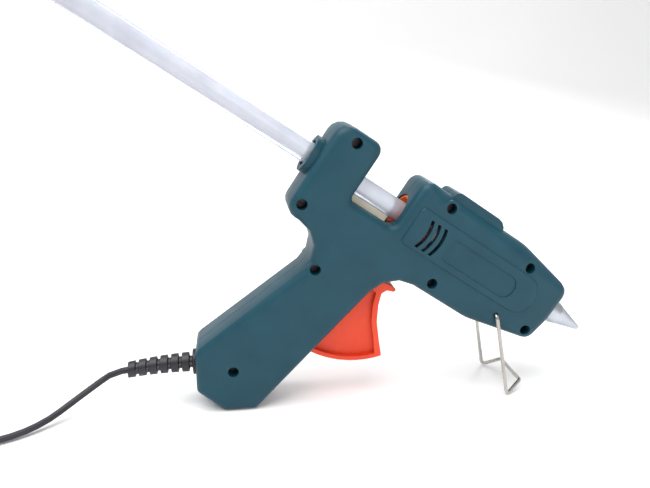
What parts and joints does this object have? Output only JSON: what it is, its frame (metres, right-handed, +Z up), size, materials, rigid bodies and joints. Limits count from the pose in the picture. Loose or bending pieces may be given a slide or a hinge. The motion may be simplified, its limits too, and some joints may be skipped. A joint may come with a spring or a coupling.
{
  "type": "hot glue applicator",
  "caption": "Trigger-fed hot glue applicator with an open feed window, a glue stick, a folding wire stand and a coiled mains cord.",
  "frame": {"origin": "on the surface that the applicator stands on, under the middle of its box without the cord", "axes": "+X towards the nozzle, +Y to the applicator's left as seen from behind, +Z up; the glue stick's axis slopes 33.8 degrees down towards +X"},
  "size_m": [0.4571, 0.0594, 0.227],
  "materials": {
    "teal_shell": "fine moulded grain, satin",
    "red_trigger": "satin gloss",
    "orange_silicone": "soft satin",
    "ivory_nylon": "satin",
    "bright_steel": "plated wire and sheet",
    "dark_screw": "blackened",
    "cast_alloy": "as cast",
    "nozzle_metal": "turned, dulled by heat",
    "ceramic": "matt",
    "clear_glue": "translucent, satin",
    "black_rubber": "satin",
    "brown_lead": "satin",
    "blue_lead": "satin"
  },
  "bodies": {
    "housing": {"right_shell": "teal_shell", "left_shell": "teal_shell", "shell_screw_1": "dark_screw", "shell_screw_2": "dark_screw", "shell_screw_3": "dark_screw", "shell_screw_4": "dark_screw", "shell_screw_5": "dark_screw", "shell_screw_6": "dark_screw", "shell_screw_7": "dark_screw", "shell_screw_8": "dark_screw", "inlet_sleeve": "orange_silicone", "sleeve_clamp": "bright_steel", "melt_chamber": "cast_alloy", "heater_plate": "ceramic", "heater_clip": "bright_steel", "front_bush": "black_rubber", "nozzle": "nozzle_metal", "trigger_pin": "bright_steel", "return_spring": "bright_steel", "strain_relief": "black_rubber", "cord_clamp": "ivory_nylon", "clamp_screw_1": "dark_screw", "clamp_screw_2": "dark_screw", "live_lead": "brown_lead", "neutral_lead": "blue_lead", "cord": "black_rubber", "cord_coil": "black_rubber", "cord_tail": "black_rubber", "cord_tie": "black_rubber", "plug": "black_rubber", "plug_pin_1": "bright_steel", "plug_pin_2": "bright_steel"},
    "trigger": {"trigger": "red_trigger"},
    "carriage": {"feed_carriage": "ivory_nylon", "grip_pin": "bright_steel"},
    "grip": {"grip_plate": "bright_steel"},
    "stick": {"glue_stick": "clear_glue"},
    "stand": {"wire_stand": "bright_steel"}
  },
  "joints": [
    {"name": "trigger_pivot", "type": "hinge", "parent": "housing", "child": "trigger", "pos_m": [0.01816, 0, 0.07025], "axis": [0, 1, 0], "range_deg": [0, 20], "stiffness_Nm_per_rad": 0.25, "springref_deg": -8.59, "deforming": ["return_spring"]},
    {"name": "carriage_slide", "type": "slide", "parent": "housing", "child": "carriage", "axis": [0.831, 0, -0.5563], "range_m": [0, 0.00811]},
    {"name": "grip_tilt", "type": "hinge", "parent": "carriage", "child": "grip", "pos_m": [-0.00425, 0, 0.11533], "axis": [0, 1, 0], "range_deg": [-4, 0]},
    {"name": "stick_slide", "type": "slide", "parent": "carriage", "child": "stick", "axis": [0.831, 0, -0.5563], "range_m": [-0.12, 0]},
    {"name": "stand_fold", "type": "hinge", "parent": "housing", "child": "stand", "pos_m": [0.09078, 0, 0.04534], "axis": [0, 1, 0], "range_deg": [0, 130]}
  ],
  "couplings": [
    {"joint": "carriage_slide", "follows": "trigger_pivot", "m_per_rad": 0.02324},
    {"joint": "grip_tilt", "follows": "trigger_pivot", "ratio": -0.2}
  ]
}
